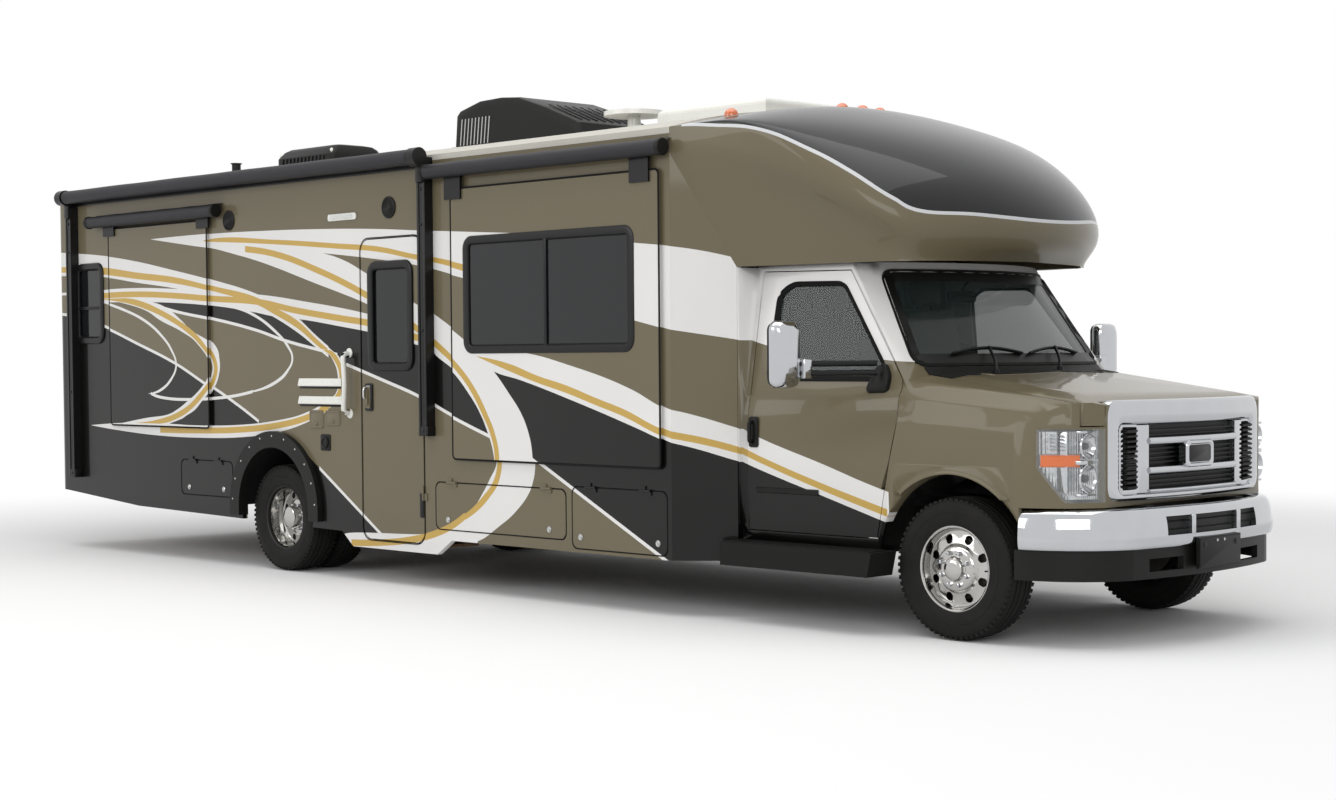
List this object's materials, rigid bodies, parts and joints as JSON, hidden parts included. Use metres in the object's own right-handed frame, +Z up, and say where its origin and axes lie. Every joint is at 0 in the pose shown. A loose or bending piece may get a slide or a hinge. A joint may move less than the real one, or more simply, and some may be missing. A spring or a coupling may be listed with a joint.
{
  "type": "motorhome",
  "caption": "Motorhome on a cutaway van chassis with dual rear wheels, an over-cab cap, room slide-outs, patio awning, opening doors, hood and storage lids",
  "frame": {"origin": "centre of the vehicle's bounding box at the ground under its wheels", "axes": "+X towards the front of the vehicle, +Y towards the driver's side, +Z up"},
  "size_m": [9.558, 3.11, 3.1949],
  "materials": {
    "body_paint": "olive taupe gloss paint with swept stripes",
    "black_metal": "satin black powder coat",
    "black_plastic": "moulded black plastic",
    "white_plastic": "moulded white plastic",
    "trim_plastic": "moulded grey interior trim",
    "tank_plastic": "rotomoulded black plastic",
    "bright_metal": "bright chrome",
    "frame_steel": "black frame paint",
    "axle_iron": "bare cast iron",
    "exhaust_steel": "dulled exhaust steel",
    "tyre": "tyre rubber",
    "floor_wood": "laminated plywood",
    "seat_leather": "grey leather",
    "tinted_glass": "dark tinted glass",
    "clear_glass": "clear glass",
    "lamp_lens": "clear lamp lens",
    "red_lens": "red lamp lens",
    "amber_lens": "amber lamp lens"
  },
  "bodies": {
    "root": {"front_axle": "axle_iron", "rear_axle": "axle_iron", "chassis_frame": "frame_steel", "engine_block": "axle_iron", "lockers_and_tanks": "tank_plastic", "wall_right": "body_paint", "wall_left": "body_paint", "house_windows": "tinted_glass", "house_roof": "body_paint", "wall_rear": "body_paint", "house_floor": "floor_wood", "patio_awning": "black_metal", "overcab_cap": "body_paint", "cab_body": "body_paint", "windscreen": "clear_glass", "headlamps": "lamp_lens", "grille": "bright_metal", "grille_slats": "black_plastic", "front_bumper": "bright_metal", "front_valance": "black_plastic", "dashboard": "trim_plastic", "cab_seats": "seat_leather", "wipers": "black_plastic", "running_boards": "black_plastic", "arch_flares": "black_plastic", "exhaust": "exhaust_steel", "rear_bumper": "black_plastic", "tail_lamps": "red_lens", "air_conditioner": "black_plastic", "roof_fittings": "white_plastic", "marker_lamps": "amber_lens"},
    "hood": {"hood": "body_paint"},
    "entry_door": {"entry_door": "body_paint", "entry_window": "tinted_glass"},
    "slide_front": {"slide_front": "body_paint", "slide_front_window": "tinted_glass", "slide_front_topper": "black_metal"},
    "slide_rear": {"slide_rear": "body_paint", "slide_rear_topper": "black_metal"},
    "cab_door_right": {"cab_door_right": "body_paint", "door_glass_right": "clear_glass", "mirror_right": "bright_metal"},
    "knuckle_right": {"knuckle_right": "axle_iron"},
    "front_wheel_right": {"front_rim_right": "bright_metal", "front_tyre_right": "tyre"},
    "rear_wheels_right": {"rear_rim_right": "bright_metal", "rear_tyres_right": "tyre"},
    "cab_door_left": {"cab_door_left": "body_paint", "door_glass_left": "clear_glass", "mirror_left": "bright_metal"},
    "knuckle_left": {"knuckle_left": "axle_iron"},
    "front_wheel_left": {"front_rim_left": "bright_metal", "front_tyre_left": "tyre"},
    "rear_wheels_left": {"rear_rim_left": "bright_metal", "rear_tyres_left": "tyre"},
    "lid_right_front": {"lid_right_front": "body_paint"},
    "lid_right_middle": {"lid_right_middle": "body_paint"},
    "lid_right_rear": {"lid_right_rear": "body_paint"},
    "lid_left_middle": {"lid_left_middle": "body_paint"},
    "lid_left_rear": {"lid_left_rear": "body_paint"}
  },
  "joints": [
    {"name": "steer_right", "type": "hinge", "parent": "root", "child": "knuckle_right", "pos_m": [3.835, -0.735, 0.368], "axis": [0, 0, 1], "range_deg": [-30, 30]},
    {"name": "spin_front_right", "type": "hinge", "parent": "knuckle_right", "child": "front_wheel_right", "pos_m": [3.835, -0.881, 0.368], "axis": [0, 1, 0], "continuous": true},
    {"name": "spin_rear_right", "type": "hinge", "parent": "root", "child": "rear_wheels_right", "pos_m": [-1.753, -1.116, 0.368], "axis": [0, 1, 0], "continuous": true},
    {"name": "steer_left", "type": "hinge", "parent": "root", "child": "knuckle_left", "pos_m": [3.835, 0.735, 0.368], "axis": [0, 0, 1], "range_deg": [-30, 30]},
    {"name": "spin_front_left", "type": "hinge", "parent": "knuckle_left", "child": "front_wheel_left", "pos_m": [3.835, 0.881, 0.368], "axis": [0, 1, 0], "continuous": true},
    {"name": "spin_rear_left", "type": "hinge", "parent": "root", "child": "rear_wheels_left", "pos_m": [-1.753, 1.116, 0.368], "axis": [0, 1, 0], "continuous": true},
    {"name": "cab_door_right", "type": "hinge", "parent": "root", "child": "cab_door_right", "pos_m": [3.39, -1, 0.9], "axis": [0, 0, 1], "range_deg": [0, 62]},
    {"name": "cab_door_left", "type": "hinge", "parent": "root", "child": "cab_door_left", "pos_m": [3.39, 1, 0.9], "axis": [0, 0, -1], "range_deg": [0, 62]},
    {"name": "hood", "type": "hinge", "parent": "root", "child": "hood", "pos_m": [3.69, 0, 1.345], "axis": [0, -1, 0], "range_deg": [0, 50]},
    {"name": "entry_door", "type": "hinge", "parent": "root", "child": "entry_door", "pos_m": [-0.119, -1.281, 1.2], "axis": [0, 0, 1], "range_deg": [0, 90]},
    {"name": "slide_front", "type": "slide", "parent": "root", "child": "slide_front", "axis": [0, -1, 0], "range_m": [0, 0.5]},
    {"name": "slide_rear", "type": "slide", "parent": "root", "child": "slide_rear", "axis": [0, -1, 0], "range_m": [0, 0.5]},
    {"name": "lid_right_front", "type": "hinge", "parent": "root", "child": "lid_right_front", "pos_m": [0.5, -1.281, 0.704], "axis": [-1, 0, 0], "range_deg": [0, 85]},
    {"name": "lid_right_middle", "type": "hinge", "parent": "root", "child": "lid_right_middle", "pos_m": [0.5, -1.281, 0.684], "axis": [-1, 0, 0], "range_deg": [0, 85]},
    {"name": "lid_right_rear", "type": "hinge", "parent": "root", "child": "lid_right_rear", "pos_m": [0.5, -1.281, 0.739], "axis": [-1, 0, 0], "range_deg": [0, 85]},
    {"name": "lid_left_middle", "type": "hinge", "parent": "root", "child": "lid_left_middle", "pos_m": [0.5, 1.281, 0.684], "axis": [1, 0, 0], "range_deg": [0, 85]},
    {"name": "lid_left_rear", "type": "hinge", "parent": "root", "child": "lid_left_rear", "pos_m": [0.5, 1.281, 0.739], "axis": [1, 0, 0], "range_deg": [0, 85]}
  ],
  "couplings": [
    {"joint": "steer_left", "follows": "steer_right", "ratio": 1}
  ]
}
